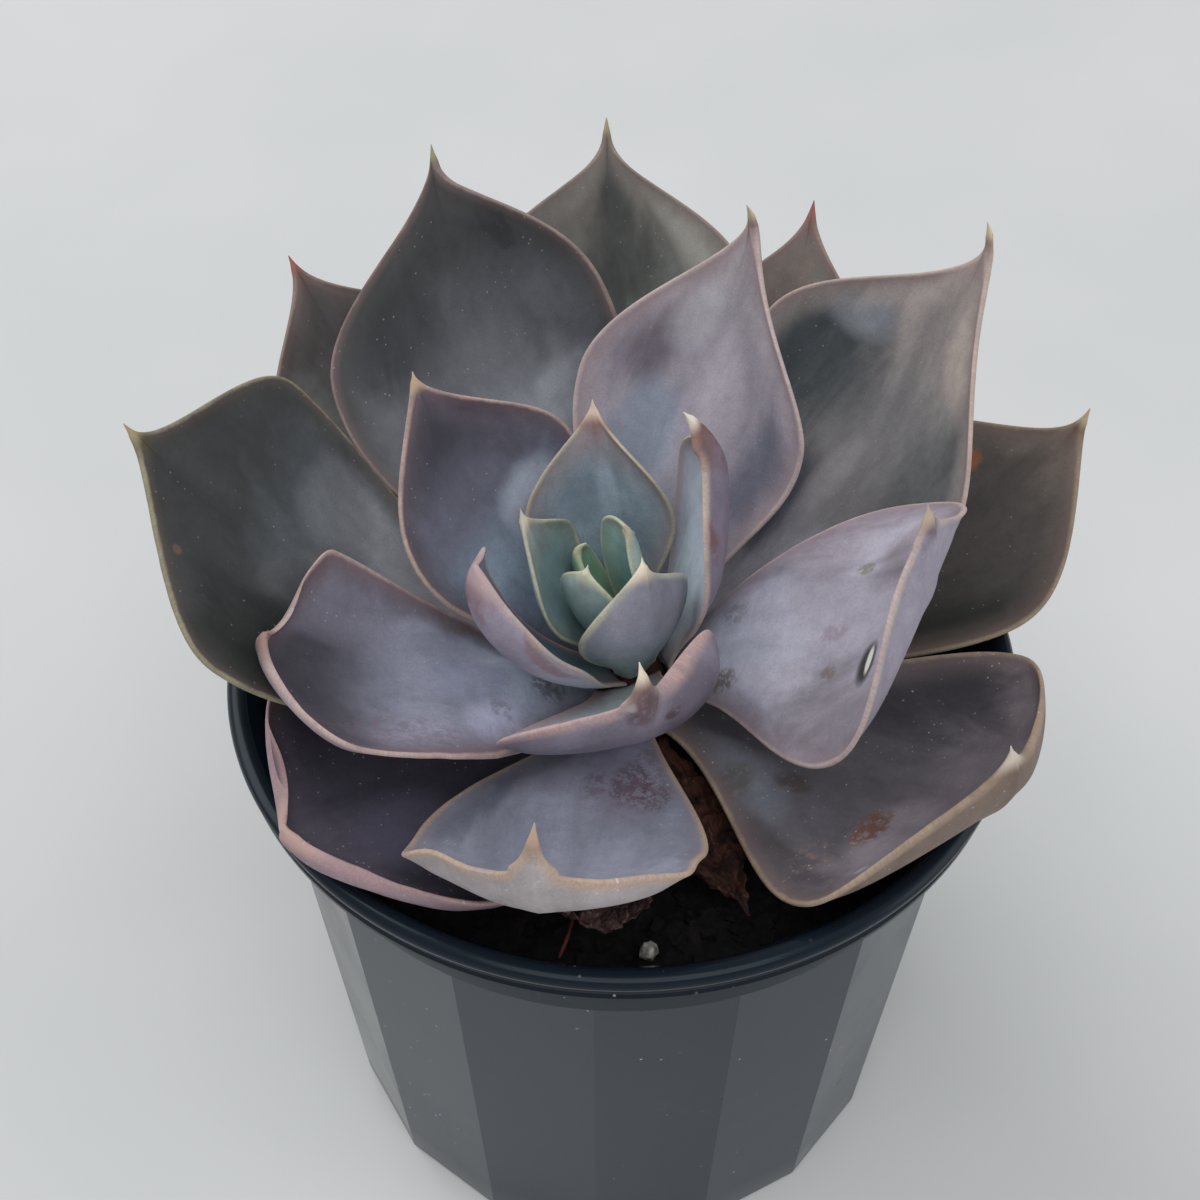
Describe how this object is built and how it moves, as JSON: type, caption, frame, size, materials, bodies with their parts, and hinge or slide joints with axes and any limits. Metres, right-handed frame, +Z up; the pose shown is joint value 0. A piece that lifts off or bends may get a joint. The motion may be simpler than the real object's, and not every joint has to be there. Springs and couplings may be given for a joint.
{
  "type": "potted echeveria",
  "caption": "Rosette succulent with broad pointed mauve-grey leaves on a short stem, growing in soil in a tapered faceted nursery pot.",
  "frame": {"origin": "middle of the pot's flat underside", "axes": "+Z up; the pictured front faces -Y, with +X to the right in the picture"},
  "size_m": [0.1187, 0.131, 0.1278],
  "materials": {
    "pot": "semi-gloss charcoal plastic",
    "soil": "damp dark potting mix",
    "stem": "rough brown stem",
    "leaf_heart": "fresh green leaf under a pale bloom",
    "leaf_young": "blue-green leaf under a pale bloom",
    "leaf_middle": "mauve-grey leaf under a pale bloom",
    "leaf_old": "dark olive-grey leaf with a worn bloom",
    "dry_leaf": "dry brown leaf",
    "perlite": "chalky white"
  },
  "bodies": {
    "root": {"pot": "pot", "soil": "soil", "stem": "stem", "heart_leaves": "leaf_heart", "leaf_04": "leaf_young", "leaf_05": "leaf_young", "leaf_06": "leaf_young", "leaf_07": "leaf_middle", "leaf_08": "leaf_middle", "leaf_09": "leaf_middle", "leaf_10": "leaf_middle", "leaf_11": "leaf_middle", "leaf_12": "leaf_middle", "leaf_13": "leaf_middle", "leaf_14": "leaf_old", "leaf_15": "leaf_old", "leaf_16": "leaf_old", "leaf_17": "leaf_old", "leaf_18": "leaf_old", "leaf_19": "leaf_old", "leaf_20": "leaf_old", "leaf_21": "leaf_old", "leaf_22": "leaf_old", "leaf_24": "leaf_old", "dry_leaf_23": "dry_leaf", "dry_leaf_31": "dry_leaf", "perlite_grain": "perlite"}
  },
  "joints": []
}
